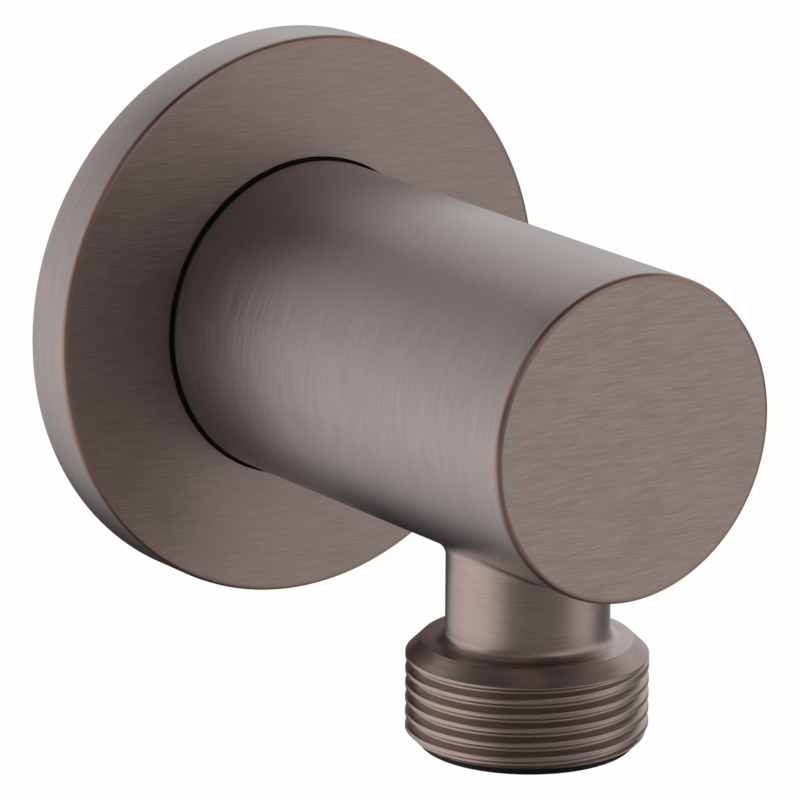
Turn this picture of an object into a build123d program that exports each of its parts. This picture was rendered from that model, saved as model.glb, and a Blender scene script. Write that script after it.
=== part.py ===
# Wall outlet elbow for a shower hose: a round brass body on a round wall flange,
# with a threaded outlet pointing down. Millimetres.
# The origin is where the body's axis meets the wall. +Z is up, +Y goes into the
# wall and the object stands out along -Y.
from build123d import *
from math import tan, radians
import os

# Body: a closed cylinder standing out from the wall
body_d = 28.0
body_reach = 53.6           # wall to the front face
body_wall_gap = 0.5         # between the body's rear end and the wall
body_edge_r = 0.5           # rounding of the front edge
body_rear_chamfer = 0.4
spigot_bore_depth = 22.0    # wall to the bottom of the bore for the nipple
chamber_d = 12.0            # waterway from the spigot bore to the outlet
chamber_overrun = 1.0       # how far the waterway is drilled past the outlet's bore

# Outlet: neck, shoulder and thread, hanging below the body
outlet_from_front = 14.7    # body's front face to the outlet's axis
neck_d = 14.0
neck_joint_r = 1.0          # rounding where the neck leaves the body
neck_foot_r = 0.95          # rounding where the neck meets the shoulder
shoulder_drop = 20.8        # body axis to the shoulder's flat face
outlet_drop = 29.35         # body axis to the outlet's end face
shoulder_chamfer = 1.27
end_chamfer = 0.62
neck_bore_d = 10.0
valve_bore_d = 15.2
valve_bore_roof = 1.5       # metal between the shoulder's face and the valve bore

# Outlet thread, drawn as ring grooves of the true section
outlet_thread_d = 20.7
outlet_thread_pitch = 1.265
outlet_thread_crest = 0.39
outlet_thread_root = 0.20
outlet_thread_turns = 5
thread_flank_angle = 27.5   # from the plane across the axis

# Wall flange: a hollow-backed disc with a hub round the body
flange_d = 50.0
flange_t = 5.3
flange_edge_r = 0.5
flange_rear_edge_r = 0.2
flange_face_t = 1.8
flange_rim_w = 3.2
flange_body_gap = 0.3       # radial gap round the body
hub_w = 2.7
hub_wall_gap = 0.3
grip_groove_w = 2.2
grip_groove_depth = 1.25
grip_groove_lip = 0.8       # metal between the flange's face and the groove
hole_edge_chamfer = 0.12

# Sealing ring between flange and wall
wall_seal_w = 1.4
wall_seal_t = 0.9

# Connection nipple, screwed into the wall fitting
inlet_thread_d = 20.955
inlet_thread_pitch = 1.814
inlet_thread_start = 1.0    # wall plane to the thread's near end
inlet_thread_length = 14.0
inlet_thread_turns = 7
inlet_bore_d = 10.0
spigot_d = 17.8
spigot_length = 21.0        # wall to the spigot's front end
spigot_chamfer = 0.6
key_flats = 10.0
key_depth = 8.0
spigot_ring_places = (14.2, 18.5)
spigot_groove_w = 2.3
spigot_groove_depth = 1.45

# Set screw that clamps the body on the nipple, from below
screw_from_wall = 9.6
screw_d = 5.0
screw_length = 5.0
screw_tip_chamfer = 0.9
screw_key_flats = 2.5
screw_key_depth = 2.2
screw_groove_w = 3.4
screw_groove_depth = 0.6

# Non-return valve in the outlet
rim_d = 18.5
rim_t = 0.75
rim_edge_r = 0.4
housing_bore_d = 12.0
seat_t = 1.2
seat_port_d = 9.0
seat_cone = 0.4
seat_ledge = 0.6            # radial step in the housing that carries the seat
housing_groove_w = 1.5
housing_groove_depth = 0.8
housing_groove_from_end = 1.6
guide_hub_d = 4.6
guide_hub_t = 1.4
guide_hub_lift = 0.5        # hub underside above the rim's underside
spoke_w = 1.2
spoke_count = 3
stem_d = 2.4
poppet_disc_d = 10.6
poppet_disc_t = 0.9
seal_t = 1.05
seal_bore_d = 7.2
seal_lip_w = 0.4
seal_lip_t = 0.4
valve_travel = 1.2
spring_wire_d = 0.35
spring_coil_d = 4.0
spring_turns = 2.5

# Clearances
slide_fit = 0.10            # parts that push together by hand
ring_fit = 0.02             # rubber rings at their squeezed size
thread_fit = 0.04           # set screw in its tapped hole
stem_fit = 0.08             # valve stem in its guide, radial
seat_fit = 0.05             # seal under the seat, drawn just clear

# Sizes that follow from the ones above
outlet_from_wall = body_reach - outlet_from_front
outlet_thread_depth = (outlet_thread_pitch - outlet_thread_crest - outlet_thread_root) / 2 / tan(
    radians(thread_flank_angle))
inlet_thread_flat = inlet_thread_pitch / 6
inlet_thread_depth = (inlet_thread_pitch - 2 * inlet_thread_flat) / 2 / tan(radians(thread_flank_angle))
valve_bore_top = -(shoulder_drop + valve_bore_roof)
spigot_bore_d = spigot_d + 2 * slide_fit
flange_hole_d = body_d + 2 * flange_body_gap
valve_barrel_d = valve_bore_d - 2 * slide_fit
seat_top = valve_bore_top - slide_fit
seat_bottom = seat_top - seat_t
hub_bottom = -(outlet_drop + rim_t) + guide_hub_lift
hub_top = hub_bottom + guide_hub_t
seal_top = seat_bottom - seat_fit
disc_top = seal_top - seal_t
disc_bottom = disc_top - poppet_disc_t


def turned_on_y(points):
    """Solid turned about the body's axis from (radius, y) points."""
    outline = make_face(Polyline(*points, close=True))
    return revolve(outline, Axis.Y, 360)


def turned_on_outlet(points):
    """Solid turned about the outlet's axis from (radius, z) points."""
    outline = make_face(Plane.XZ * Polyline(*points, close=True))
    return Pos(0, -outlet_from_wall, 0) * revolve(outline, Axis.Z, 360)


def rod_on_y(diameter, start, end):
    """Plain cylinder on the body's axis between two y values."""
    return Pos(0, (start + end) / 2, 0) * Rot(90, 0, 0) * Cylinder(diameter / 2, end - start)


def rod_on_outlet(diameter, bottom, top):
    """Plain cylinder on the outlet's axis between two z values."""
    return Pos(0, -outlet_from_wall, (bottom + top) / 2) * Cylinder(diameter / 2, top - bottom)


def ring_edges(solid, radius, axis_name, place):
    """Round edges of one radius, centred at one place along an axis."""
    found = []
    for edge in solid.edges().filter_by(GeomType.CIRCLE):
        centre = getattr(edge.arc_center, axis_name)
        if abs(edge.radius - radius) < 0.01 and abs(centre - place) < 0.01:
            found.append(edge)
    return found


def thread_points(radius, depth, pitch, crest, root, turns, start, direction):
    """Outline of ring grooves, from the first crest to the last, as (radius, place)."""
    flank = (pitch - crest - root) / 2
    points = []
    for turn in range(turns):
        groove = start + direction * (crest + turn * pitch)
        points += [(radius, groove), (radius - depth, groove + direction * flank)]
        points += [(radius - depth, groove + direction * (flank + root))]
        points += [(radius, groove + direction * (2 * flank + root))]
    return points


def elbow_body():
    radius = body_d / 2
    barrel = rod_on_y(body_d, -body_reach, -body_wall_gap)
    barrel = chamfer(ring_edges(barrel, radius, "Y", -body_wall_gap), body_rear_chamfer)

    crest_r = outlet_thread_d / 2
    shoulder_r = crest_r - shoulder_chamfer
    thread_top = -(shoulder_drop + shoulder_chamfer)
    outline = [(0, 0), (neck_d / 2, 0), (neck_d / 2, -shoulder_drop), (shoulder_r, -shoulder_drop)]
    outline += [(crest_r, thread_top)]
    outline += thread_points(crest_r, outlet_thread_depth, outlet_thread_pitch, outlet_thread_crest,
                             outlet_thread_root, outlet_thread_turns, thread_top, -1)
    outline += [(crest_r, -outlet_drop + end_chamfer), (crest_r - end_chamfer, -outlet_drop)]
    outline += [(0, -outlet_drop)]
    outlet = turned_on_outlet(outline)
    outlet = fillet(ring_edges(outlet, neck_d / 2, "Z", -shoulder_drop), neck_foot_r)

    # The neck runs up to the body's axis, and the joint round it is rounded
    elbow = barrel + outlet
    elbow = fillet(ring_edges(elbow, radius, "Y", -body_reach), body_edge_r)
    joint = [edge for edge in elbow.edges().filter_by(GeomType.CIRCLE, reverse=True)
             if edge.center().Z < 0 and edge.bounding_box().size.Y > neck_d / 2
             and edge.bounding_box().min.Z < -radius * 0.7]
    elbow = fillet(joint, neck_joint_r)

    elbow -= rod_on_y(spigot_bore_d, -spigot_bore_depth, 0)
    chamber_end = -(outlet_from_wall + neck_bore_d / 2 + chamber_overrun)
    elbow -= rod_on_y(chamber_d, chamber_end, -spigot_bore_depth)
    elbow -= rod_on_outlet(neck_bore_d, valve_bore_top, 0)
    elbow -= rod_on_outlet(valve_bore_d, -outlet_drop, valve_bore_top)
    tapped_d = screw_d + 2 * thread_fit
    elbow -= Pos(0, -screw_from_wall, -radius / 2) * Cylinder(tapped_d / 2, radius)
    return elbow


def wall_flange():
    outer_r = flange_d / 2
    hole_r = flange_hole_d / 2
    rim_r = outer_r - flange_rim_w
    hub_r = hole_r + hub_w
    floor = -(flange_t - flange_face_t)
    groove_front = -(flange_t - grip_groove_lip)
    groove_r = hole_r + grip_groove_depth
    seal_outer = outer_r - (flange_rim_w - wall_seal_w) / 2
    outline = [(hole_r, -flange_t), (outer_r, -flange_t), (outer_r, 0), (seal_outer, 0)]
    outline += [(seal_outer, -wall_seal_t), (seal_outer - wall_seal_w, -wall_seal_t)]
    outline += [(seal_outer - wall_seal_w, 0), (rim_r, 0), (rim_r, floor), (hub_r, floor)]
    outline += [(hub_r, -hub_wall_gap), (hole_r, -hub_wall_gap)]
    outline += [(hole_r, groove_front + grip_groove_w), (groove_r, groove_front + grip_groove_w)]
    outline += [(groove_r, groove_front), (hole_r, groove_front)]
    flange = turned_on_y(outline)
    flange = fillet(ring_edges(flange, outer_r, "Y", -flange_t), flange_edge_r)
    flange = fillet(ring_edges(flange, outer_r, "Y", 0), flange_rear_edge_r)
    return chamfer(ring_edges(flange, hole_r, "Y", -flange_t), hole_edge_chamfer)


def squeezed_ring(inner_r, outer_r, width, place):
    """Rubber ring on the body's axis, pressed to a rounded oblong section."""
    height = outer_r - inner_r
    section = Pos((inner_r + outer_r) / 2, place, 0) * RectangleRounded(height, width, height * 0.45)
    return revolve(section, Axis.Y, 360)


def flange_ring():
    """Ring that grips the body and shows as the black line round it."""
    inner_r = body_d / 2 + ring_fit
    outer_r = flange_hole_d / 2 + grip_groove_depth - ring_fit
    place = -(flange_t - grip_groove_lip) + grip_groove_w / 2
    return squeezed_ring(inner_r, outer_r, grip_groove_w - 2 * slide_fit, place)


def wall_seal():
    outer_r = flange_d / 2 - (flange_rim_w - wall_seal_w) / 2 - ring_fit
    inner_r = outer_r - wall_seal_w + 2 * ring_fit
    return turned_on_y([(inner_r, -wall_seal_t), (outer_r, -wall_seal_t), (outer_r, 0), (inner_r, 0)])


def wall_nipple():
    crest_r = inlet_thread_d / 2
    spigot_r = spigot_d / 2
    thread_end = inlet_thread_start + inlet_thread_length
    ridges = inlet_thread_turns * inlet_thread_pitch + inlet_thread_flat
    first_crest = inlet_thread_start + (inlet_thread_length - ridges) / 2
    run_out = inlet_thread_depth
    outline = [(inlet_bore_d / 2, -spigot_length), (spigot_r - spigot_chamfer, -spigot_length)]
    outline += [(spigot_r, -spigot_length + spigot_chamfer)]
    for place in reversed(spigot_ring_places):
        groove_r = spigot_r - spigot_groove_depth
        low, high = -place - spigot_groove_w / 2, -place + spigot_groove_w / 2
        outline += [(spigot_r, low), (groove_r, low), (groove_r, high), (spigot_r, high)]
    low, high = -screw_from_wall - screw_groove_w / 2, -screw_from_wall + screw_groove_w / 2
    outline += [(spigot_r, low - screw_groove_depth), (spigot_r - screw_groove_depth, low)]
    outline += [(spigot_r - screw_groove_depth, high), (spigot_r, high + screw_groove_depth)]
    outline += [(spigot_r, first_crest - run_out), (crest_r, first_crest)]
    outline += thread_points(crest_r, inlet_thread_depth, inlet_thread_pitch, inlet_thread_flat,
                             inlet_thread_flat, inlet_thread_turns, first_crest, 1)
    outline += [(crest_r, first_crest + ridges), (crest_r - run_out, thread_end)]
    outline += [(inlet_bore_d / 2, thread_end)]
    nipple = turned_on_y(outline)
    socket = extrude(RegularPolygon(key_flats / 2, 6, major_radius=False), key_depth)
    return nipple - Pos(0, -spigot_length, 0) * Rot(-90, 0, 0) * socket


def nipple_ring(place):
    inner_r = (spigot_d / 2) - spigot_groove_depth + ring_fit
    return squeezed_ring(inner_r, spigot_bore_d / 2 - ring_fit, spigot_groove_w - 2 * slide_fit, -place)


def set_screw():
    """Grub screw, its tip on the floor of the groove round the nipple."""
    tip = -(spigot_d / 2 - screw_groove_depth)
    screw = Pos(0, -screw_from_wall, tip - screw_length / 2) * Cylinder(screw_d / 2, screw_length)
    screw = chamfer(ring_edges(screw, screw_d / 2, "Z", tip), screw_tip_chamfer)
    key = extrude(RegularPolygon(screw_key_flats / 2, 6, major_radius=False), screw_key_depth)
    return screw - Pos(0, -screw_from_wall, tip - screw_length) * key


def valve_housing():
    """Black cartridge body: its rim closes the outlet's end and shows below it."""
    inner_r = housing_bore_d / 2
    barrel_r = valve_barrel_d / 2
    seat_r = inner_r + seat_ledge
    rim_bottom = -(outlet_drop + rim_t)
    groove_low = -outlet_drop + housing_groove_from_end
    groove_high = groove_low + housing_groove_w
    groove_r = barrel_r - housing_groove_depth
    outline = [(inner_r, rim_bottom), (rim_d / 2, rim_bottom), (rim_d / 2, -outlet_drop)]
    outline += [(barrel_r, -outlet_drop), (barrel_r, groove_low), (groove_r, groove_low)]
    outline += [(groove_r, groove_high), (barrel_r, groove_high), (barrel_r, seat_top)]
    outline += [(seat_r, seat_top), (seat_r, seat_bottom), (inner_r, seat_bottom)]
    housing = turned_on_outlet(outline)
    housing = fillet(ring_edges(housing, rim_d / 2, "Z", rim_bottom), rim_edge_r)
    guide = rod_on_outlet(guide_hub_d, hub_bottom, hub_top)
    for index in range(spoke_count):
        spoke = Pos(inner_r / 2, 0, 0) * Box(inner_r + seat_ledge, spoke_w, guide_hub_t)
        turn = Rot(0, 0, 90 + index * 360 / spoke_count)
        guide += Pos(0, -outlet_from_wall, (hub_bottom + hub_top) / 2) * turn * spoke
    return housing + guide - rod_on_outlet(stem_d + 2 * stem_fit, hub_bottom, hub_top)


def valve_housing_ring():
    """Rubber ring that seals the cartridge in the outlet."""
    inner_r = valve_barrel_d / 2 - housing_groove_depth + ring_fit
    outer_r = valve_bore_d / 2 - ring_fit
    height = outer_r - inner_r
    width = housing_groove_w - 2 * slide_fit
    place = -outlet_drop + housing_groove_from_end + housing_groove_w / 2
    section = Plane.XZ * Pos((inner_r + outer_r) / 2, place) * RectangleRounded(height, width, height * 0.45)
    return Pos(0, -outlet_from_wall, 0) * revolve(section, Axis.Z, 360)


def valve_seat():
    outer_r = housing_bore_d / 2 + seat_ledge - ring_fit
    port_r = seat_port_d / 2
    outline = [(port_r, seat_top), (outer_r, seat_top), (outer_r, seat_bottom)]
    outline += [(port_r + seat_cone, seat_bottom), (port_r, seat_bottom + seat_cone)]
    return turned_on_outlet(outline)


def valve_poppet():
    """Disc, guide stem below it and the lip above that holds its rubber washer."""
    bore_r = seal_bore_d / 2 - ring_fit
    stem_bottom = hub_bottom - guide_hub_lift + valve_travel
    lip_top = seal_top + seal_lip_t
    outline = [(0, lip_top), (bore_r + seal_lip_w, lip_top), (bore_r + seal_lip_w, seal_top)]
    outline += [(bore_r, seal_top), (bore_r, disc_top), (poppet_disc_d / 2, disc_top)]
    outline += [(poppet_disc_d / 2, disc_bottom), (stem_d / 2, disc_bottom)]
    outline += [(stem_d / 2, stem_bottom), (0, stem_bottom)]
    return turned_on_outlet(outline)


def poppet_seal():
    inner_r, outer_r = seal_bore_d / 2, poppet_disc_d / 2
    return turned_on_outlet([(inner_r, disc_top), (outer_r, disc_top), (outer_r, seal_top), (inner_r, seal_top)])


def valve_spring():
    """Coil spring between the guide hub and the poppet's disc."""
    height = disc_bottom - hub_top - spring_wire_d - 2 * ring_fit
    coil = Helix(height / spring_turns, height, spring_coil_d / 2)
    wire = sweep(Plane(coil @ 0, z_dir=coil % 0) * Circle(spring_wire_d / 2), path=coil)
    return Pos(0, -outlet_from_wall, hub_top + spring_wire_d / 2 + ring_fit) * wire


nodes = {
    "elbow_body": elbow_body(),
    "wall_flange": wall_flange(),
    "flange_ring": flange_ring(),
    "wall_seal": wall_seal(),
    "wall_nipple": wall_nipple(),
    "nipple_ring_rear": nipple_ring(spigot_ring_places[0]),
    "nipple_ring_front": nipple_ring(spigot_ring_places[1]),
    "set_screw": set_screw(),
    "valve_housing": valve_housing(),
    "valve_housing_ring": valve_housing_ring(),
    "valve_seat": valve_seat(),
    "valve_poppet": valve_poppet(),
    "poppet_seal": poppet_seal(),
    "valve_spring": valve_spring(),
}

os.makedirs("parts", exist_ok=True)
for name, solid in nodes.items():
    export_step(solid, f"parts/{name}.step")
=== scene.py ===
# Wall outlet elbow for a shower hose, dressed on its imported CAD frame.
# Lengths in this file are millimetres and become metres where a mesh is made.
# +Z is up, +Y goes into the wall. The body's axis is Y and the outlet hangs down.
from math import asin, cos, pi, radians, sin, sqrt, tan

import bmesh
import bpy
from mathutils import Matrix, Vector


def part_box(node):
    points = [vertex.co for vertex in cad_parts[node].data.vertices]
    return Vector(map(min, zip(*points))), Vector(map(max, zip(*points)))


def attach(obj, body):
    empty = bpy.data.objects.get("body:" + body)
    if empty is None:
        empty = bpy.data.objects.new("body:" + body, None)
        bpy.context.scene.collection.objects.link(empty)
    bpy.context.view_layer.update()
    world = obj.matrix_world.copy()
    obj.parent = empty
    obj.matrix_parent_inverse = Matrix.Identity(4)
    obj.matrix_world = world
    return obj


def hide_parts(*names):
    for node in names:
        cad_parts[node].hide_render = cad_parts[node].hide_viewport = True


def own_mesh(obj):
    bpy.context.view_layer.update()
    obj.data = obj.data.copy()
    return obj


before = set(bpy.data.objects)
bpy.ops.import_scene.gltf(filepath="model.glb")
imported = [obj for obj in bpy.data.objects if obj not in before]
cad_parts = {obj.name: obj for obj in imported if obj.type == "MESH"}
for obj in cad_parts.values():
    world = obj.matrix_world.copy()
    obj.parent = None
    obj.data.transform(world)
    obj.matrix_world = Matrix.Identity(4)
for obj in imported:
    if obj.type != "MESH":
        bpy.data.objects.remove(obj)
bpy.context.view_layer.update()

MM = 0.001


def cad_box(node):
    """Lowest and highest corner of a CAD node, in millimetres to a hundredth."""
    return [[round(value / MM, 2) for value in corner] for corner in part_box(node)]


# Sizes read from the frame
(_, body_front, outlet_end), (body_r, body_rear, _) = cad_box("elbow_body")
(_, flange_front, _), (flange_r, _, _) = cad_box("wall_flange")
(_, rim_low_y, rim_bottom), (rim_r, rim_high_y, housing_top) = cad_box("valve_housing")
(_, spigot_front, _), (inlet_r, inlet_top, _) = cad_box("wall_nipple")
outlet_y = (rim_low_y + rim_high_y) / 2

# Sizes of the body that its box doesn't give
body_edge_r = 0.5
body_rear_chamfer = 0.4
spigot_bore_r = 9.0
spigot_bore_end = -22.0
chamber_r = 6.0
chamber_end = outlet_y - 6.0
neck_r = 7.0
neck_joint_r = 1.0
neck_foot_r = 0.95
shoulder_z = -20.8
shoulder_chamfer = 1.27
end_chamfer = 0.62
neck_bore_r = 5.0
valve_bore_r = 7.6
valve_bore_top = -22.3
screw_y = -9.6
screw_hole_r = 2.54
screw_columns = 64
face_border = 0.06              # flat strip beside a rounded edge, which keeps the shading clean
waist_r = body_r - 0.3          # shallow groove that the grip ring's lip sits in
grip_front, grip_rear = -5.85, -4.4

# Outlet thread
thread_r = 10.35
thread_pitch = 1.265
thread_crest = 0.39
thread_root = 0.20
thread_flank = radians(27.5)
thread_start = -22.955, 144.9   # height of the first groove's middle, and the angle it has there
thread_runout = 235, 345        # angles between which the first groove fades away

# Columns round the body and round the outlet
body_columns = 192
outlet_columns = 176
corner_angle = radians(-45)     # where the columns round a hole start, at a patch's corner

# Patches round the holes: half height in millimetres, half columns, half rows
neck_patch = 10.5, 22, 22
screw_patch = 3.66, 8, 8
screw_bore_patch = 3.2, 10, 6
chamber_patch = 5.5, 32, 12

# Material indices of the elbow's faces
finish_barrel, finish_face, finish_outlet, finish_brass, finish_shaded_edge = range(5)


class Skin:
    """Points and faces of one piece while it is being built."""

    def __init__(self):
        self.points = []
        self.faces = []
        self.finishes = []
        self.finish = 0         # material index for the faces added next

    def row(self, points):
        start = len(self.points)
        self.points += [Vector(point) for point in points]
        return list(range(start, len(self.points)))

    def strip(self, first, second, closed=True):
        """Quads between two rows of equal length."""
        count = len(first) if closed else len(first) - 1
        for index in range(count):
            following = (index + 1) % len(first)
            self.face([first[index], first[following], second[following], second[index]])

    def face(self, corners):
        self.faces.append(corners)
        self.finishes.append(self.finish)

    def strips(self, rows, closed=True):
        for first, second in zip(rows, rows[1:]):
            self.strip(first, second, closed)

    def cap(self, row):
        """Closes a row with triangles to its middle."""
        middle = sum((self.points[index] for index in row), Vector()) / len(row)
        self.points.append(middle)
        for index in range(len(row)):
            self.face([row[index], row[(index + 1) % len(row)], len(self.points) - 1])

    def build(self, name, *materials, sharp=35):
        """The finished mesh object, with doubled points joined and edges sharp above an angle."""
        mesh = bpy.data.meshes.new(name)
        mesh.from_pydata([point * MM for point in self.points], [], self.faces)
        mesh.polygons.foreach_set("material_index", self.finishes)
        work = bmesh.new()
        work.from_mesh(mesh)
        bmesh.ops.remove_doubles(work, verts=work.verts, dist=1e-6)
        bmesh.ops.dissolve_degenerate(work, edges=work.edges, dist=1e-7)
        bmesh.ops.recalc_face_normals(work, faces=work.faces)
        work.to_mesh(mesh)
        work.free()
        mesh.shade_smooth()
        mesh.set_sharp_from_angle(angle=radians(sharp))
        for material in materials:
            mesh.materials.append(material)
        obj = bpy.data.objects.new(name, mesh)
        bpy.context.scene.collection.objects.link(obj)
        return obj


def place_piece(obj, body, slot, *nodes):
    """Puts a piece on its CAD body in place of the nodes it stands for."""
    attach(obj, body)
    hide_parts(*nodes)
    return obj


def between(start, end, count):
    """Evenly spaced values from start to end, both included."""
    return [start + (end - start) * index / count for index in range(count + 1)]


def arc(centre, radius, start, end, count=8):
    """Points of an arc in a section, angles in degrees."""
    return [(centre[0] + radius * cos(radians(angle)), centre[1] + radius * sin(radians(angle)))
            for angle in between(start, end, count)]


def ring_y(radius, y, columns):
    """Ring of points round the body's axis, counted from straight down towards +X."""
    turns = [2 * pi * index / columns for index in range(columns)]
    return [(radius * sin(turn), y, -radius * cos(turn)) for turn in turns]


def outlet_angles():
    """Column angles round the outlet, counted from +X towards +Y."""
    return [corner_angle + 2 * pi * index / outlet_columns for index in range(outlet_columns)]


def ring_outlet(radius, z):
    return [(radius * cos(angle), outlet_y + radius * sin(angle), z) for angle in outlet_angles()]


# Tubes with holes in their side
def patch_edge(half_columns, half_rows):
    """Steps round a patch's edge from its corner at (+, -), counter-clockwise in (column, row)."""
    edge = [(half_columns, row) for row in range(-half_rows, half_rows)]
    edge += [(column, half_rows) for column in range(half_columns, -half_columns, -1)]
    edge += [(-half_columns, row) for row in range(half_rows, -half_rows, -1)]
    edge += [(column, -half_rows) for column in range(-half_columns, half_columns)]
    return edge


def tube_with_holes(skin, radius, plain_rows, patches, waist=()):
    """Tube round the body's axis, open at both ends, with holes on its underside.

    A patch is (middle y, half height, half columns, half rows, hole), where hole lists the
    points of its rim in the order of patch_edge. waist lists (y, radius) rows that are
    narrower than the tube. Returns the end rows and the rims.
    """
    levels = list(plain_rows)
    for middle, half_height, _, half_rows, _ in patches:
        levels += between(middle - half_height, middle + half_height, 2 * half_rows)
    radii = {level: radius for level in levels} | dict(waist)
    radii = {round(level, 6): own for level, own in sorted(radii.items())}
    levels = list(radii)
    rows = {level: skin.row(ring_y(own, level, body_columns)) for level, own in radii.items()}
    rims = []
    for middle, half_height, half_columns, half_rows, hole in patches:
        rows_in = [round(value, 6) for value in
                   between(middle - half_height, middle + half_height, 2 * half_rows)]
        edge = []
        for column, row in patch_edge(half_columns, half_rows):
            edge.append(rows[rows_in[row + half_rows]][column % body_columns])
        corner = (half_columns - half_rows) // 2    # place of the first corner on the rim
        edge = edge[-corner:] + edge[:-corner]
        rings = [edge]
        steps = 10
        for step in range(1, steps + 1):
            share = step / steps
            points = []
            for index, rim_point in zip(edge, hole):
                outer = skin.points[index]
                turn_out = asin(outer.x / radius)
                turn_in = asin(max(-1, min(1, rim_point[0] / radius)))
                turn = turn_out + (turn_in - turn_out) * share
                y = outer.y + (rim_point[1] - outer.y) * share
                points.append((radius * sin(turn), y, -radius * cos(turn)))
            rings.append(skin.row(points))
        skin.strips(rings)
        rims.append(rings[-1])
    for low, high in zip(levels, levels[1:]):
        first, second = rows[low], rows[high]
        for index in range(body_columns):
            following = (index + 1) % body_columns
            if any(abs((low + high) / 2 - middle) < half_height
                   and (index < half_columns or index >= body_columns - half_columns)
                   for middle, half_height, half_columns, _, _ in patches):
                continue
            skin.face([first[index], first[following], second[following], second[index]])
    return rows[levels[0]], rows[levels[-1]], rims


def hole_rim(tube_r, hole_r, middle, count):
    """Where a vertical round hole meets the underside of a tube."""
    rim = []
    for index in range(count):
        angle = corner_angle + 2 * pi * index / count
        x = hole_r * cos(angle)
        rim.append((x, middle + hole_r * sin(angle), -sqrt(tube_r ** 2 - x ** 2)))
    return rim


class Thread:
    """Right-hand outside thread with rounded corners, by angle in degrees and height.

    Groove 0 has its middle at height start where the angle is counted_from, and the grooves
    after it lie below. runout is the stretch of angle in which groove 0 fades away, or None
    where the grooves go on past both ends. The ends are cut by 45 degree cones at low and high.
    """

    def __init__(self, radius, pitch, crest, root, start, counted_from, low, high, runout=None):
        self.radius, self.pitch = radius, pitch
        self.half_root = root / 2
        self.half = (pitch - crest) / 2
        self.slope = tan(thread_flank)
        self.depth = (self.half - self.half_root) / self.slope
        self.start, self.counted_from = start, counted_from
        self.low, self.high, self.runout = low, high, runout
        self.corner = 0.028 * pitch     # half width of the rounding at crests and roots

    def share(self, groove, angle):
        """1 where a groove is full depth, 0 where it has run out."""
        if self.runout is None or groove > 0:
            return 1
        if groove < 0:
            return 0
        first, last = self.runout
        return max(0, min(1, (last - angle) / (last - first)))

    def middle(self, groove, angle):
        return self.start + self.pitch * ((angle - self.counted_from) / 360 - groove)

    def cut(self, distance, share):
        """Depth of a groove at a distance from its middle."""
        distance = abs(distance)
        half = self.half_root + (self.half - self.half_root) * share
        soft = self.corner * share
        if distance >= half + soft:
            return 0
        if distance > half - soft:
            return (half + soft - distance) ** 2 / (4 * soft * self.slope)
        if distance >= self.half_root + soft:
            return (half - distance) / self.slope
        if distance > self.half_root - soft:
            past = distance - self.half_root + soft
            return self.depth * share - past ** 2 / (4 * soft * self.slope)
        return self.depth * share

    def radius_at(self, angle, height, grooves):
        cut = max(self.cut(height - self.middle(groove, angle), self.share(groove, angle))
                  for groove in grooves)
        return self.radius - max(cut, self.low - height, height - self.high)

    def columns(self, angles, grooves, bottom, low_level, high_level, top):
        """One list of (radius, height) for each angle, top to bottom, following the grooves.

        Between the low and the high level the rows run along the grooves, and outside them
        they are level, so that the end cones cut the grooves cleanly.
        """
        columns = []
        for angle in angles:
            heights = between(top, high_level, level_rows) if top > high_level else [top]
            for groove in grooves:
                share = self.share(groove, angle)
                half = self.half_root + (self.half - self.half_root) * share
                soft = self.corner * share
                upper = [half + soft, half, half - soft]
                upper += [self.half_root + soft, self.half_root, self.half_root - soft]
                for offset in upper + [-value for value in reversed(upper)]:
                    height = self.middle(groove, angle) + offset
                    heights.append(max(low_level, min(high_level, height)))
            heights += between(low_level, bottom, level_rows)
            columns.append([(self.radius_at(angle, height, grooves), height) for height in heights])
        return columns


level_rows = 30
thread_top = shoulder_z - shoulder_chamfer
outlet_helix = Thread(thread_r, thread_pitch, thread_crest, thread_root, start=thread_start[0],
                      counted_from=thread_start[1], low=outlet_end + end_chamfer, high=thread_top,
                      runout=thread_runout)


def outlet_thread(skin):
    """Thread and end chamfer. Returns the top and bottom rows, in ring_outlet's order."""
    seam = 15                   # column where the counted angle starts again
    step = 360 / outlet_columns
    angles = [-45 + step * (seam + index) for index in range(outlet_columns + 1)]
    level = outlet_helix.low + 0.13
    columns = outlet_helix.columns(angles, range(-1, 6), outlet_end, level, thread_top, thread_top)
    placed = []
    for angle, column in zip(angles, columns):
        across, along = cos(radians(angle)), sin(radians(angle))
        placed.append([(radius * across, outlet_y + radius * along, z) for radius, z in column])
    rows = [skin.row(points) for points in zip(*placed)]
    skin.strips(rows, closed=False)
    return [[row[(index - seam) % outlet_columns] for index in range(outlet_columns)]
            for row in (rows[0], rows[-1])]


def neck_joint_rows():
    """Rows of the rounding between body and neck, from the body down to the neck."""
    reach = neck_r + neck_joint_r
    rows = [[] for _ in range(9)]
    for angle in outlet_angles():
        side = Vector((cos(angle), sin(angle), 0))
        x = reach * side.x
        centre = Vector((x, outlet_y + reach * side.y, -sqrt((body_r + neck_joint_r) ** 2 - x ** 2)))
        to_body = Vector((-centre.x, 0, -centre.z)).normalized()
        for index, row in enumerate(rows):
            direction = to_body.slerp(-side, index / (len(rows) - 1))
            row.append(centre + neck_joint_r * direction)
    return rows


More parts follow.
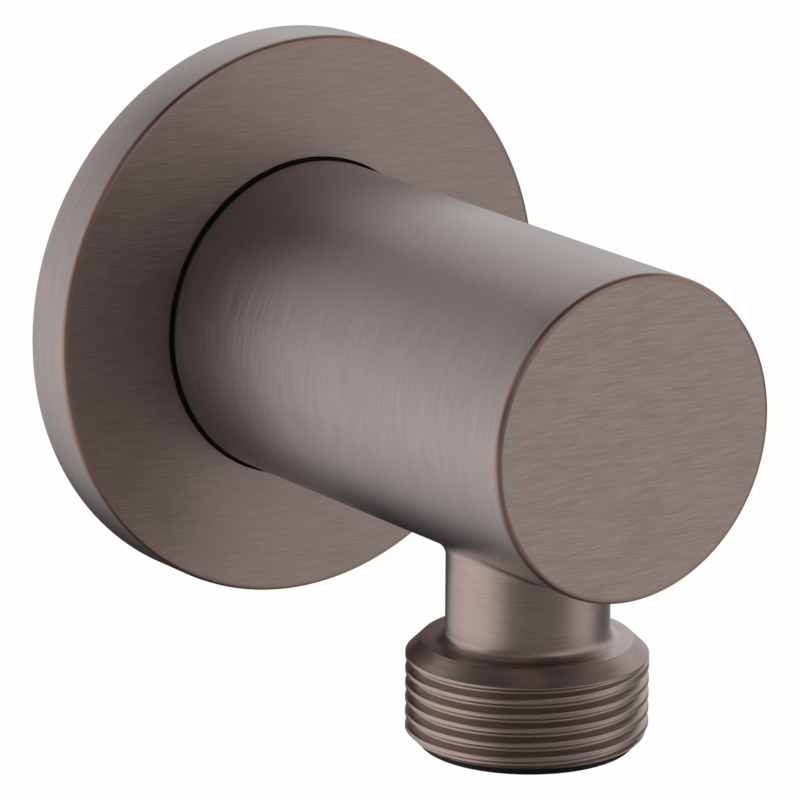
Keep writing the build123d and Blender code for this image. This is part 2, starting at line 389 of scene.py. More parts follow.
def outlet_elbow(*materials):
    skin = Skin()

    # Outside of the body, with the holes that the neck and the set screw leave
    joint = neck_joint_rows()
    screw_rim = hole_rim(body_r, screw_hole_r, screw_y, screw_columns)
    rear_edge = body_rear - body_rear_chamfer
    front_edge = body_front + body_edge_r
    between_patches = between(-26, -15, 6)
    plain = [rear_edge, front_edge] + between_patches
    patches = [(outlet_y, *neck_patch, joint[0]), (screw_y, *screw_patch, screw_rim)]
    waist = [(grip_rear + 0.02, body_r), (grip_rear, waist_r), (grip_front + 0.2, waist_r)]
    waist += [(grip_front + 0.02, body_r - 0.02), (grip_front, body_r)]
    front, rear, (neck_rim, screw_outer) = tube_with_holes(skin, body_r, plain, patches, waist)

    # Front edge and face
    rounding = arc((body_r - body_edge_r, front_edge), body_edge_r, 0, -90)[1:]
    rows = [front] + [skin.row(ring_y(radius, y, body_columns)) for radius, y in rounding]
    # The front edge's rounding takes the edge bronze, which carries painted shade.
    skin.finish = finish_shaded_edge
    skin.strips(rows)
    skin.finish = finish_face
    face = [(radius, body_front) for radius in (body_r - body_edge_r - face_border, 10, 5, 1)]
    rows = [rows[-1]] + [skin.row(ring_y(radius, y, body_columns)) for radius, y in face]
    skin.strips(rows)
    skin.cap(rows[-1])

    # Rear edge, bore for the nipple and waterway
    bore_screw_rim = hole_rim(spigot_bore_r, screw_hole_r, screw_y, screw_columns)
    skin.finish = finish_brass
    bore_front, bore_rear, (screw_inner,) = tube_with_holes(
        skin, spigot_bore_r, [body_rear, spigot_bore_end],
        [(screw_y, *screw_bore_patch, bore_screw_rim)])
    skin.strip(screw_outer, screw_inner)
    chamber_hole = hole_rim(chamber_r, neck_bore_r, outlet_y, outlet_columns)
    chamber_front, chamber_rear, (bore_top,) = tube_with_holes(
        skin, chamber_r, [chamber_end, spigot_bore_end],
        [(outlet_y, *chamber_patch, chamber_hole)])
    skin.strip(bore_front, chamber_rear)
    skin.cap(chamber_front)
    skin.finish = finish_barrel
    lip = skin.row(ring_y(body_r - body_rear_chamfer, body_rear, body_columns))
    skin.strips([rear, lip, bore_rear])

    # Neck, shoulder and thread
    skin.finish = finish_outlet
    joint_rows = [neck_rim] + [skin.row(points) for points in joint[1:]]
    skin.strips(joint_rows)
    foot_top = shoulder_z + neck_foot_r
    rows = [joint_rows[-1]]
    for share in between(0, 1, 8)[1:]:
        points = [point.lerp(Vector((point.x, point.y, foot_top)), share) for point in joint[-1]]
        rows.append(skin.row(points))
    shoulder_r = thread_r - shoulder_chamfer
    foot = arc((neck_r + neck_foot_r, foot_top), neck_foot_r, 180, 270)[1:]
    edge = [(neck_r + neck_foot_r + 0.05, shoulder_z), (shoulder_r - 0.05, shoulder_z)]
    edge += [(shoulder_r - 0.015, shoulder_z - 0.005), (shoulder_r + 0.03, shoulder_z - 0.05)]
    edge += [(thread_r - 0.06, thread_top + 0.06), (thread_r - 0.015, thread_top + 0.005)]
    rows += [skin.row(ring_outlet(radius, z)) for radius, z in foot + edge]
    thread_first, thread_last = outlet_thread(skin)
    skin.strips(rows + [thread_first])

    # End face and valve bore
    inside = [(valve_bore_r, outlet_end), (valve_bore_r, valve_bore_top), (neck_bore_r, valve_bore_top)]
    rows = [thread_last] + [skin.row(ring_outlet(radius, z)) for radius, z in inside]
    skin.strip(rows[0], rows[1])
    skin.finish = finish_brass
    skin.strips(rows[1:] + [bore_top])
    elbow = skin.build("outlet_elbow", *materials)
    return place_piece(elbow, "fitting", "brushed_bronze", "elbow_body")


# Wall flange
flange_edge_r = 0.5
flange_rear_edge_r = 0.2
flange_hole_r = body_r + 0.25
flange_floor = -3.5
flange_floor_r = 0.5            # rounding at the foot of the rim and of the hub
hub_rear = -0.3
flange_rim_inner = flange_r - 3.2
hub_r = flange_hole_r + 2.7
seal_groove = (22.7, 24.1, -0.9)
grip_groove = (body_r + 1.55, -4.5, -2.3)
hole_edge = 0.03
flange_columns = 256


def flange_plate(turned, face, edge):
    inner, outer, depth = seal_groove
    groove_r, groove_front, groove_rear = grip_groove
    front = [(flange_hole_r + hole_edge + 0.05, flange_front), (18, flange_front), (22, flange_front)]
    front += [(flange_r - flange_edge_r - face_border, flange_front)]
    rounding = arc((flange_r - flange_edge_r, flange_front + flange_edge_r), flange_edge_r, -90, 0)
    section = [rounding[-1], (flange_r, -2.6)]
    section += arc((flange_r - flange_rear_edge_r, -flange_rear_edge_r), flange_rear_edge_r, 0, 90, 5)
    section += [(outer, 0), (outer, depth), (inner, depth), (inner, 0), (flange_rim_inner + 0.2, 0)]
    section += [(flange_rim_inner, -0.2)]
    foot_y = flange_floor + flange_floor_r
    section += arc((flange_rim_inner - flange_floor_r, foot_y), flange_floor_r, 0, -90, 5)
    section += arc((hub_r + flange_floor_r, foot_y), flange_floor_r, -90, -180, 5)
    section += [(hub_r, hub_rear - 0.2), (hub_r - 0.2, hub_rear)]
    section += [(flange_hole_r + 0.15, hub_rear), (flange_hole_r, hub_rear - 0.15)]
    section += [(flange_hole_r, groove_rear), (groove_r, groove_rear)]
    section += [(groove_r, groove_front), (flange_hole_r, groove_front)]
    section += arc((flange_hole_r + hole_edge, flange_front + hole_edge), hole_edge, 180, 270, 4)
    skin = Skin()
    front_rows = [skin.row(ring_y(radius, y, flange_columns)) for radius, y in front]
    edge_rows = [skin.row(ring_y(radius, y, flange_columns)) for radius, y in rounding]
    rows = [skin.row(ring_y(radius, y, flange_columns)) for radius, y in section]
    skin.strips(rows + [front_rows[0]])
    skin.finish = 1
    skin.strips(front_rows + [edge_rows[0]])
    # The flange's rounded front edge takes the edge bronze, which carries painted shade.
    skin.finish = 2
    skin.strips(edge_rows)
    plate = skin.build("flange_plate", turned, face, edge)
    return place_piece(plate, "fitting", "brushed_bronze", "wall_flange")


def grip_ring(material):
    """Rubber ring in the flange's groove, whose lip fills the gap between flange and body."""
    groove_r, groove_front, groove_rear = grip_groove
    lip_r, lip_front, soft = flange_hole_r - 0.02, flange_front + 0.12, 0.08
    inner = waist_r + 0.02
    section = [(inner, groove_front + 0.02), (inner, lip_front + soft), (inner + soft, lip_front)]
    section += [(lip_r - soft, lip_front), (lip_r, lip_front + soft), (lip_r, groove_front + 0.03)]
    section += [(groove_r - 0.1, groove_front + 0.03), (groove_r - 0.03, groove_front + 0.1)]
    section += [(groove_r - 0.03, groove_rear - 0.1), (groove_r - 0.1, groove_rear - 0.03)]
    section += [(body_r + 0.02, groove_rear - 0.03), (body_r + 0.02, groove_front + 0.1)]
    skin = Skin()
    rows = [skin.row(ring_y(radius, y, flange_columns)) for radius, y in section]
    skin.strips(rows + [rows[0]])
    return place_piece(skin.build("grip_ring", material), "fitting", "black_rubber", "flange_ring")


# Connection nipple
inlet_pitch = 1.814
inlet_helix = Thread(inlet_r, inlet_pitch, inlet_pitch / 6, inlet_pitch / 6, start=8.0,
                     counted_from=0, low=2.16, high=13.84)
inlet_bottom = 1.0
spigot_r = 8.9
inlet_bore_r = 5.0
key_end = -13.0
spigot_rings = (-14.2, -18.5)
ring_groove_half, ring_groove_r = 1.15, 7.45
screw_groove_half, screw_groove_depth = 1.7, 0.6
edge_soft = 0.12                # small breaks on the nipple's turned edges


def key_ring(y, flats_r):
    """Hexagon of points round the body's axis, with corners towards +X and -X."""
    points = []
    for index in range(body_columns):
        turn = 360 * index / body_columns
        radius = flats_r / cos(radians((turn - 30) % 60 - 30))
        points.append((radius * sin(radians(turn)), y, -radius * cos(radians(turn))))
    return points


def groove_section(middle, half, floor_r, slope):
    """Square or sloped groove in the spigot, front to rear."""
    front, rear = middle - half - slope, middle + half + slope
    return [(spigot_r, front - edge_soft), (spigot_r - edge_soft, front),
            (floor_r, middle - half), (floor_r, middle + half),
            (spigot_r - edge_soft, rear), (spigot_r, rear + edge_soft)]


def connection_nipple(material):
    skin = Skin()
    spigot = [(spigot_r - 0.6, spigot_front), (spigot_r, spigot_front + 0.6)]
    for middle in reversed(spigot_rings):
        spigot += groove_section(middle, ring_groove_half, ring_groove_r, 0)
    spigot += groove_section(screw_y, screw_groove_half, spigot_r - screw_groove_depth,
                             screw_groove_depth)
    thread_foot = inlet_r - (inlet_helix.low - inlet_bottom)
    spigot += [(spigot_r, inlet_bottom - (thread_foot - spigot_r))]
    rows = [skin.row(ring_y(radius, y, body_columns)) for radius, y in spigot]

    # The helix is counted the other way round, because ring_y runs left-handed about +Y
    angles = [-360 * index / body_columns for index in range(body_columns + 1)]
    low_level, high_level = inlet_helix.low + 0.05, inlet_helix.high - 0.05
    columns = inlet_helix.columns(angles, range(-4, 5), inlet_bottom, low_level, high_level, inlet_top)
    placed = []
    for angle, column in zip(angles, columns):
        across, up = -sin(radians(angle)), -cos(radians(angle))
        placed.append([(radius * across, y, radius * up) for radius, y in column])
    helix = [skin.row(points) for points in zip(*placed)]
    skin.strips(helix, closed=False)
    skin.strip(rows[-1], helix[-1][:-1])
    skin.strips(rows)

    # Inside: bore from the rear, hexagon socket from the front
    bore = [(inlet_bore_r + 0.3, inlet_top), (inlet_bore_r, inlet_top - 0.3), (inlet_bore_r, key_end)]
    bore_rows = [skin.row(ring_y(radius, y, body_columns)) for radius, y in bore]
    skin.strips([helix[0][:-1]] + bore_rows)
    socket = [skin.row(key_ring(key_end, inlet_bore_r)), skin.row(key_ring(spigot_front, inlet_bore_r))]
    skin.strips([bore_rows[-1]] + socket + [rows[0]])
    nipple = skin.build("connection_nipple", material)
    return place_piece(nipple, "fitting", "bare_brass", "wall_nipple")


# Cartridge housing of the non-return valve
barrel_r = valve_bore_r - 0.1
housing_bore_r = 6.0
seat_ledge_r, seat_ledge_z = 6.6, -23.6
housing_groove_r, housing_groove_low, housing_groove_high = 6.7, -27.75, -26.25
rim_edge_r = 0.4
guide_r, guide_bore_r = 2.3, 1.28
guide_low, guide_high = -29.6, -28.2
spoke_half = 0.6
spoke_turns = (90, 210, 330)


def lathe_outlet(skin, section):
    """Closed ring turned about the outlet's axis from (radius, z) points."""
    rows = [skin.row(ring_outlet(radius, z)) for radius, z in section]
    skin.strips(rows + [rows[0]])


def cartridge_housing(material):
    skin = Skin()
    section = arc((rim_r - rim_edge_r, rim_bottom + rim_edge_r), rim_edge_r, -90, 0)
    section += [(rim_r, outlet_end - 0.08), (rim_r - 0.08, outlet_end), (barrel_r, outlet_end)]
    section += [(barrel_r, housing_groove_low), (housing_groove_r, housing_groove_low)]
    section += [(housing_groove_r, housing_groove_high), (barrel_r, housing_groove_high)]
    section += [(barrel_r, housing_top - 0.2), (barrel_r - 0.2, housing_top)]
    section += [(seat_ledge_r, housing_top), (seat_ledge_r, seat_ledge_z)]
    section += [(housing_bore_r, seat_ledge_z), (housing_bore_r, rim_bottom + 0.3)]
    section += arc((housing_bore_r + 0.3, rim_bottom + 0.3), 0.3, 180, 270, 5)[1:]
    lathe_outlet(skin, section)
    soft = 0.15
    guide = [(guide_r - soft, guide_low), (guide_r, guide_low + soft), (guide_r, guide_high - soft)]
    guide += [(guide_r - soft, guide_high), (guide_bore_r, guide_high), (guide_bore_r, guide_low)]
    lathe_outlet(skin, guide)
    for turn in spoke_turns:
        spoke(skin, radians(turn), soft)
    housing = skin.build("cartridge_housing", material)
    return place_piece(housing, "fitting", "black_plastic", "valve_housing")


def spoke(skin, turn, soft):
    """Arm from the guide to the housing's wall, with broken long edges."""
    half, low, high = spoke_half, guide_low, guide_high
    outline = [(-half, low + soft), (-half + soft, low), (half - soft, low), (half, low + soft)]
    outline += [(half, high - soft), (half - soft, high), (-half + soft, high), (-half, high - soft)]
    rows = []
    for reach in (guide_r - 0.3, housing_bore_r + 0.2):
        rows.append(skin.row([(reach * cos(turn) - across * sin(turn),
                               outlet_y + reach * sin(turn) + across * cos(turn), z)
                              for across, z in outline]))
    skin.strips(rows)
    for row in rows:
        skin.face(row)


# Valve spring
coil_r = 2.0
wire_r = 0.175
coil_turns = 2.5
steps_a_turn = 48


def spring_coil(material):
    """Round wire wound between the guide and the poppet's disc; the real spring is pressed flat as the
    valve opens, but this coil keeps the CAD spring's height.
    """
    skin = Skin()
    low, high = [corner.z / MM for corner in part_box("valve_spring")]
    rise = (high - low - 2 * wire_r) / coil_turns
    tilt = Vector((0, 1, rise / (2 * pi * coil_r))).normalized()
    rows = []
    for step in range(int(coil_turns * steps_a_turn) + 1):
        turn = step / steps_a_turn
        spin = Matrix.Rotation(2 * pi * turn, 3, "Z")
        middle = spin @ Vector((coil_r, 0, 0)) + Vector((0, outlet_y, low + wire_r + rise * turn))
        out, up = spin @ Vector((1, 0, 0)), spin @ Vector((1, 0, 0)).cross(tilt)
        ring = [middle + wire_r * (cos(side) * out + sin(side) * up)
                for side in (2 * pi * index / 16 for index in range(16))]
        rows.append(skin.row(ring))
    skin.strips(rows)
    skin.cap(rows[0])
    skin.cap(rows[-1])
    coil = skin.build("spring_coil", material)
    place_piece(coil, "fitting", "stainless_steel", "valve_spring")
    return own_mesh(coil)


# Materials
metre = 1000                    # millimetres in a metre, for sizes in texture space


class Finish:
    """A node material on object coordinates, built one step at a time."""

    def __init__(self, name, colour, metallic, roughness):
        self.material = bpy.data.materials.new(name)
        self.material.use_nodes = True
        self.material.diffuse_color = (*colour, 1)
        self.tree = self.material.node_tree
        self.shader = self.tree.nodes["Principled BSDF"]
        self.shader.inputs["Base Color"].default_value = (*colour, 1)
        self.shader.inputs["Metallic"].default_value = metallic
        self.shader.inputs["Roughness"].default_value = roughness
        self.place = self.node("ShaderNodeTexCoord").outputs["Object"]

    def node(self, kind, **settings):
        made = self.tree.nodes.new(kind)
        for key, value in settings.items():
            setattr(made, key, value)
        return made

    def wire(self, source, target):
        self.tree.links.new(source, target)

    def maths(self, operation, *values):
        made = self.node("ShaderNodeMath", operation=operation)
        for value, socket in zip(values, made.inputs):
            if isinstance(value, (int, float)):
                socket.default_value = value
            else:
                self.wire(value, socket)
        return made.outputs[0]

    def vector(self, operation, first, second):
        made = self.node("ShaderNodeVectorMath", operation=operation)
        self.wire(first, made.inputs[0])
        made.inputs[1].default_value = second
        return made.outputs["Vector"]

    def noise(self, place, size, detail=2, roughness=0.5, seed=0):
        """Noise from 0 to 1, middle 0.5, whose grain has a size in millimetres along each axis."""
        scaled = self.vector("MULTIPLY", place, [metre / length for length in size])
        shifted = self.vector("ADD", scaled, (seed * 17.3, seed * 5.9, seed * 11.1))
        made = self.node("ShaderNodeTexNoise")
        self.wire(shifted, made.inputs["Vector"])
        made.inputs["Scale"].default_value = 1
        made.inputs["Detail"].default_value = detail
        made.inputs["Roughness"].default_value = roughness
        return made.outputs["Fac"]

    def spread(self, value, low, high, source_low=0.3, source_high=0.7):
        made = self.node("ShaderNodeMapRange")
        self.wire(value, made.inputs["Value"])
        for name, number in (("From Min", source_low), ("From Max", source_high),
                             ("To Min", low), ("To Max", high)):
            made.inputs[name].default_value = number
        return made.outputs["Result"]

    def tint(self, value, dark, light):
        """Colour that goes from dark to light with a value from 0 to 1."""
        made = self.node("ShaderNodeMix", data_type="RGBA")
        self.wire(value, made.inputs["Factor"])
        made.inputs[6].default_value = (*dark, 1)
        made.inputs[7].default_value = (*light, 1)
        self.wire(made.outputs[2], self.shader.inputs["Base Color"])

    def bump(self, height, depth):
        """Bump whose full height is a depth in millimetres."""
        made = self.node("ShaderNodeBump")
        made.inputs["Distance"].default_value = depth * MM
        self.wire(height, made.inputs["Height"])
        self.wire(made.outputs["Normal"], self.shader.inputs["Normal"])

    def grain_along(self, direction, amount):
        """Stretches highlights along a direction, across the brushing."""
        made = self.node("ShaderNodeCombineXYZ")
        for socket, value in zip(made.inputs, direction):
            socket.default_value = value
        self.wire(made.outputs[0], self.shader.inputs["Tangent"])
        self.shader.inputs["Anisotropic"].default_value = amount


def shaded(colour, share):
    return tuple(channel * share for channel in colour)


def brushed_bronze(name, bronze, stroke, broad, crossing, stretch, place_of, depth=0.03,
                   contrast=0.10, roughness=0.37, metallic=1, stretching=0.55, coat=1):
    """Brushed coating: fine strokes, broader strokes that cross them, and faint clouds.

    stroke and broad are a grain's length along the strokes and width across them. crossing
    lists the angles of the three sets of strokes in degrees. stretch is the direction across
    them, and place_of gives the coordinates that the strokes follow.
    """
    finish = Finish(name, bronze, metallic, roughness)
    place = place_of(finish)
    sets = []
    for seed, (size, angle) in enumerate(zip((stroke, broad, broad), crossing)):
        turned = finish.node("ShaderNodeVectorRotate", rotation_type="Z_AXIS")
        finish.wire(place, turned.inputs["Vector"])
        turned.inputs["Angle"].default_value = radians(angle)
        sets.append(finish.noise(turned.outputs[0], (*size, 50), detail=2, roughness=0.6, seed=seed))
    fine, rising, falling = sets
    cloud = finish.noise(finish.place, (3.2, 3.2, 3.2), detail=1, seed=4)
    wide = finish.maths("MULTIPLY", finish.maths("ADD", rising, falling), 0.24)
    strokes = finish.maths("ADD", finish.maths("MULTIPLY", fine, 0.52), wide)
    tone = finish.maths("ADD", finish.maths("MULTIPLY", strokes, 0.9),
                        finish.maths("MULTIPLY", cloud, 0.1))
    finish.tint(finish.spread(tone, 0, 1, 0.41, 0.59),
                shaded(bronze, 1 - contrast), shaded(bronze, 1 + contrast))
    finish.wire(finish.spread(strokes, roughness - 0.03, roughness + 0.03, 0.38, 0.62),
                finish.shader.inputs["Roughness"])
    finish.bump(strokes, depth)
    finish.grain_along(stretch, stretching)
    for socket, value in (("Coat Weight", coat), ("Coat Roughness", 0.35), ("Coat IOR", 1.5)):
        finish.shader.inputs[socket].default_value = value
    return finish.material


def face_place(finish):
    """Flat coordinates on faces that look along the body's axis."""
    turned = finish.node("ShaderNodeVectorRotate", rotation_type="X_AXIS")
    finish.wire(finish.place, turned.inputs["Vector"])
    turned.inputs["Angle"].default_value = radians(-90)
    return turned.outputs[0]


def unrolled(finish, centre, axis, radius):
    """Coordinates unrolled round an axis: along the turn first, then along the axis."""
    moved = finish.vector("SUBTRACT", finish.place, [value * MM for value in centre])
    split = finish.node("ShaderNodeSeparateXYZ")
    finish.wire(moved, split.inputs[0])
    first, second, rise = [split.outputs[name] for name in ("XZY" if axis == "Y" else "YXZ")]
    turn = finish.maths("ARCTAN2", first, second)
    out = finish.maths("SQRT", finish.maths("ADD", finish.maths("MULTIPLY", first, first),
                                            finish.maths("MULTIPLY", second, second)))
    joined = finish.node("ShaderNodeCombineXYZ")
    finish.wire(finish.maths("MULTIPLY", turn, radius * MM), joined.inputs["X"])
    finish.wire(finish.maths("ADD", rise, finish.maths("MULTIPLY", out, 1.7)), joined.inputs["Y"])
    return joined.outputs[0]


def barrel_place(finish):
    return unrolled(finish, (0, 0, 0), "Y", body_r)


def outlet_place(finish):
    return unrolled(finish, (0, outlet_y, 0), "Z", thread_r)


def plain_finish(name, colour, metallic, roughness, shine, grain, depth, contrast=0.2):
    """Moulded, rubbery or drawn surface: fine grain in colour, gloss and height."""
    finish = Finish(name, colour, metallic, roughness)
    finish.shader.inputs["Specular IOR Level"].default_value = shine
    fine = finish.noise(finish.place, [grain] * 3, detail=3, roughness=0.6)
    cloud = finish.noise(finish.place, [grain * 8] * 3, detail=2, seed=3)
    mixed = finish.maths("MULTIPLY_ADD", cloud, 0.4, finish.maths("MULTIPLY", fine, 0.6))
    finish.tint(finish.spread(mixed, 0, 1), shaded(colour, 1 - contrast), shaded(colour, 1 + contrast))
    finish.wire(finish.spread(mixed, roughness - 0.06, roughness + 0.08),
                finish.shader.inputs["Roughness"])
    finish.bump(mixed, depth)
    return finish.material


def turned_brass():
    """Bare machined brass with fine tool rings round the body's axis."""
    colour = (0.78, 0.62, 0.36)
    finish = Finish("bare_brass", colour, 1, 0.25)
    rings = finish.noise(finish.place, (6, 0.12, 6), detail=2)
    stain = finish.noise(finish.place, (3, 3, 3), detail=3, seed=4)
    finish.tint(finish.spread(stain, 0, 1), shaded(colour, 0.8), shaded(colour, 1.05))
    finish.wire(finish.spread(rings, 0.18, 0.32), finish.shader.inputs["Roughness"])
    finish.bump(rings, 0.006)
    return finish.material


def finish_nodes(*names, material):
    """Gives carried-over CAD nodes their material."""
    for name in names:
        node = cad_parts[name]
        node.data.materials.clear()
        node.data.materials.append(material)


# Stage
def backdrop_white(tree):
    """1 for what is seen directly, in a reflection or through glass, and 0 for what gives light."""
    path = tree.nodes.new("ShaderNodeLightPath")
    seen = path.outputs["Is Camera Ray"]
    for name in ("Is Glossy Ray", "Is Transmission Ray"):
        either = tree.nodes.new("ShaderNodeMath")
        either.operation = "MAXIMUM"
        tree.links.new(seen, either.inputs[0])
        tree.links.new(path.outputs[name], either.inputs[1])
        seen = either.outputs[0]
    return seen


def make_world():
    world = bpy.data.worlds.new("studio")
    bpy.context.scene.world = world
    world.use_nodes = True
    tree = world.node_tree
    tree.nodes.clear()
    lit = tree.nodes.new("ShaderNodeBackground")
    lit.inputs["Color"].default_value = (0.6, 0.6, 0.6, 1)
    white = tree.nodes.new("ShaderNodeBackground")
    white.inputs["Color"].default_value = (1, 1, 1, 1)
    mix = tree.nodes.new("ShaderNodeMixShader")
    tree.links.new(backdrop_white(tree), mix.inputs[0])
    tree.links.new(lit.outputs[0], mix.inputs[1])
    tree.links.new(white.outputs[0], mix.inputs[2])
    out = tree.nodes.new("ShaderNodeOutputWorld")
    tree.links.new(mix.outputs[0], out.inputs["Surface"])


def make_floor():
    """Pale floor that keeps the object's shadow and is white where it is seen."""
    skin = Skin()
    reach, drop = 6000, -1000
    skin.face(skin.row([(-reach, -reach, drop), (reach, -reach, drop), (reach, reach, drop),
                        (-reach, reach, drop)]))
    material = bpy.data.materials.new("pale_floor")
    material.use_nodes = True
    tree = material.node_tree
    diffuse = tree.nodes["Principled BSDF"]
    diffuse.inputs["Base Color"].default_value = (0.86, 0.86, 0.86, 1)
    diffuse.inputs["Roughness"].default_value = 0.9
    diffuse.inputs["Specular IOR Level"].default_value = 0.1
    white = tree.nodes.new("ShaderNodeEmission")
    mix = tree.nodes.new("ShaderNodeMixShader")
    share = tree.nodes.new("ShaderNodeMath")
    share.operation = "MULTIPLY"
    share.inputs[1].default_value = 0.98
    tree.links.new(backdrop_white(tree), share.inputs[0])
    tree.links.new(share.outputs[0], mix.inputs[0])
    tree.links.new(diffuse.outputs[0], mix.inputs[1])
    tree.links.new(white.outputs[0], mix.inputs[2])
    tree.links.new(mix.outputs[0], tree.nodes["Material Output"].inputs["Surface"])
    floor = skin.build("floor", material)
    floor.visible_glossy = False        # reflections show the white world and the cards instead


middle = Vector((0, -25, -3)) * MM      # what the lamps and cards face


def stand_at(azimuth, elevation, distance):
    """Place and rotation facing the middle, from an azimuth round from -Y towards +X."""
    turn, lift = radians(azimuth), radians(elevation)
    back = Vector((sin(turn) * cos(lift), -cos(turn) * cos(lift), sin(lift)))
    return middle + back * distance, back.to_track_quat("Z", "Y")


def make_lamp():
    """Weak square soft box above the rear, whose face looks as bright as its level."""
    size, level = 0.5, 0.5
    light = bpy.data.lights.new("top_softbox", "AREA")
    light.size = size
    light.energy = level * pi * size ** 2
    obj = bpy.data.objects.new("top_softbox", light)
    obj.location, rotation = stand_at(150, 62, 0.75)
    obj.rotation_mode = "QUATERNION"
    obj.rotation_quaternion = rotation
    obj.visible_camera = False
    bpy.context.scene.collection.objects.link(obj)


def card(name, distance, azimuth, elevation, half_width, half_height, brightness):
    """Elliptical soft-edged card for reflections, with half sizes as angles seen from the middle.

    A brightness under 1 makes it a flag that dims the white surroundings, one over 1 a light.
    """
    skin = Skin()
    across, upward = [distance * tan(radians(angle)) for angle in (half_width, half_height)]
    turns = [2 * pi * index / 64 for index in range(64)]
    skin.face(skin.row([(across * cos(turn) / MM, upward * sin(turn) / MM, 0) for turn in turns]))
    material = bpy.data.materials.new(name)
    material.use_nodes = True
    tree = material.node_tree
    tree.nodes.clear()
    place = tree.nodes.new("ShaderNodeTexCoord")
    level = tree.nodes.new("ShaderNodeVectorMath")
    level.operation = "MULTIPLY"
    level.inputs[1].default_value = (1 / across, 1 / upward, 0)
    tree.links.new(place.outputs["Object"], level.inputs[0])
    radius = tree.nodes.new("ShaderNodeVectorMath")
    radius.operation = "LENGTH"
    tree.links.new(level.outputs["Vector"], radius.inputs[0])
    fade = tree.nodes.new("ShaderNodeMapRange")
    fade.interpolation_type = "SMOOTHSTEP"
    fade.inputs["From Min"].default_value = 0.15
    fade.inputs["From Max"].default_value = 1
    fade.inputs["To Min"].default_value = 1
    fade.inputs["To Max"].default_value = 0
    tree.links.new(radius.outputs["Value"], fade.inputs["Value"])
    clear = tree.nodes.new("ShaderNodeBsdfTransparent")
    glow = tree.nodes.new("ShaderNodeEmission")
    glow.inputs["Strength"].default_value = brightness
    mix = tree.nodes.new("ShaderNodeMixShader")
    tree.links.new(fade.outputs["Result"], mix.inputs[0])
    tree.links.new(clear.outputs[0], mix.inputs[1])
    tree.links.new(glow.outputs[0], mix.inputs[2])
    out = tree.nodes.new("ShaderNodeOutputMaterial")
    tree.links.new(mix.outputs[0], out.inputs["Surface"])
    obj = skin.build(name, material)
    obj.location, rotation = stand_at(azimuth, elevation, distance)
    obj.rotation_mode = "QUATERNION"
    obj.rotation_quaternion = rotation
    obj.visible_camera = obj.visible_shadow = obj.visible_transmission = obj.visible_diffuse = False


# Soft cards round the object, farthest first: azimuth, elevation, half width, half height, level
cards = {
    "left_key": (-106.0, -9.8, 56.3, 42.1, 1.48),
    "below_flag": (134.4, -89.0, 49.6, 62.0, 0.01),
    "rear_low_flag": (156.9, -27.7, 40.7, 47.6, 0),
    "top_left_flag": (-88.5, 85.3, 62.0, 62.0, 0),
    "front_left_flag": (-59.3, 12.6, 61.8, 36.8, 0.2),
    "front_right_key": (19.1, 27.5, 37.8, 20.6, 1.27),
    "rear_right_flag": (125.9, 46.7, 23.2, 34.4, 0.67),
    "front_low_flag": (-19.0, -14.2, 60.8, 55.2, 0.33),
    "top_flag": (60.6, 65.4, 48.3, 40.0, 0),
    "right_flag": (99.5, -16.2, 45.9, 39.4, 0.19),
}
farthest_card, card_step = 3.6, 0.1     # metres from the middle, and between one and the next


def make_lights():
    make_lamp()
    for index, (name, values) in enumerate(cards.items()):
        card(name, farthest_card - card_step * index, *values)


def make_camera():
    """The photograph's viewpoint: a long lens, turned and lifted round the object."""
    turn, lift, roll = radians(-35.087), radians(15.563), radians(0.313)
    target = Vector((-3.363, -24.70, -2.709))
    distance = 560.86
    back = Vector((sin(turn) * cos(lift), -cos(turn) * cos(lift), sin(lift)))
    level = Vector((cos(turn), sin(turn), 0))
    upright = back.cross(level)
    right = level * cos(roll) + upright * sin(roll)
    up = upright * cos(roll) - level * sin(roll)
    data = bpy.data.cameras.new("camera")
    data.sensor_width = 36
    data.lens = 295.2
    data.clip_start, data.clip_end = 0.01, 20
    camera = bpy.data.objects.new("camera", data)
    camera.matrix_world = Matrix.Translation((target + back * distance) * MM) @ Matrix(
        (right, up, back)).transposed().to_4x4()
    bpy.context.scene.collection.objects.link(camera)
    bpy.context.scene.camera = camera


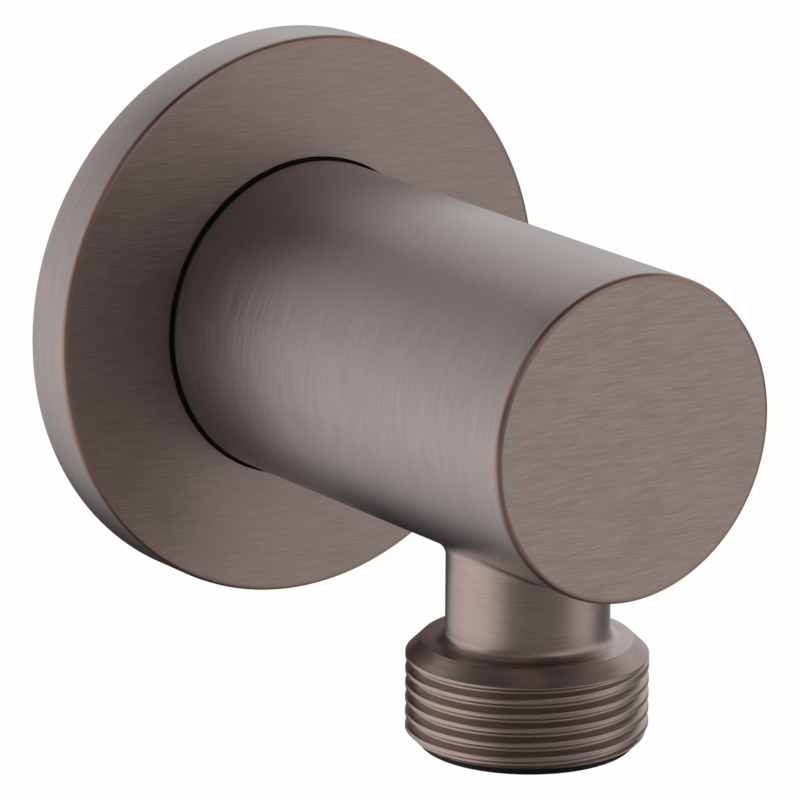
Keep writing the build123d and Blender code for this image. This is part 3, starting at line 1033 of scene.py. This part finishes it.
along_body, straight_up = (0.02, 1, 0.01), (0.02, 0.01, 1)     # across the strokes
barrel = brushed_bronze("bronze_barrel", (0.248, 0.200, 0.188), (4.5, 0.18), (6, 0.32), (-4, -9, 0),
                        along_body, barrel_place, depth=0.04, contrast=0.12, metallic=0.93)
face = brushed_bronze("bronze_face", (0.259, 0.198, 0.177), (3.0, 0.16), (4, 0.3), (0, 5, -5),
                      straight_up, face_place, contrast=0.14)
plate = brushed_bronze("bronze_plate", (0.253, 0.188, 0.167), (3.0, 0.16), (4, 0.3), (3, 8, -2),
                       straight_up, face_place, metallic=0.85)
outlet = brushed_bronze("bronze_outlet", (0.276, 0.200, 0.176), (5, 0.13), (8, 0.25), (0, 1, -1),
                        straight_up, outlet_place, depth=0.035, contrast=0.12, roughness=0.31,
                        stretching=0.65)
# Rounded edges: a darker, redder copy of the bronze with half the coat. Its colour is painted shade
# along the edges, in place of the highlight their rounding catches.
edge = brushed_bronze("bronze_edge_painted_shade", (0.262, 0.167, 0.135), (4.5, 0.18), (6, 0.32), (0, -2, 2),
                      along_body, barrel_place, contrast=0.12, metallic=0.93, coat=0.5)
brass = turned_brass()
rubber = plain_finish("black_rubber", (0.006, 0.006, 0.006), 0, 0.7, 0.1, 0.15, 0.004)
black_plastic = plain_finish("black_plastic", (0.004, 0.004, 0.004), 0, 0.5, 0.12, 0.2, 0.003)
pale_plastic = plain_finish("valve_plastic", (0.8, 0.8, 0.77), 0, 0.4, 0.5, 0.3, 0.003, 0.03)
steel = plain_finish("stainless_steel", (0.6, 0.6, 0.58), 1, 0.3, 0.5, 0.1, 0.003, 0.1)

outlet_elbow(barrel, face, outlet, brass, edge)
flange_plate(barrel, plate, edge)
grip_ring(rubber)
connection_nipple(brass)
cartridge_housing(black_plastic)
spring_coil(steel)
finish_nodes("wall_seal", "nipple_ring_rear", "nipple_ring_front", "valve_housing_ring",
             "poppet_seal", material=rubber)
finish_nodes("valve_seat", "valve_poppet", material=pale_plastic)
finish_nodes("set_screw", material=steel)

make_world()
make_floor()
make_lights()
make_camera()
bpy.context.scene.view_settings.view_transform = "Standard"
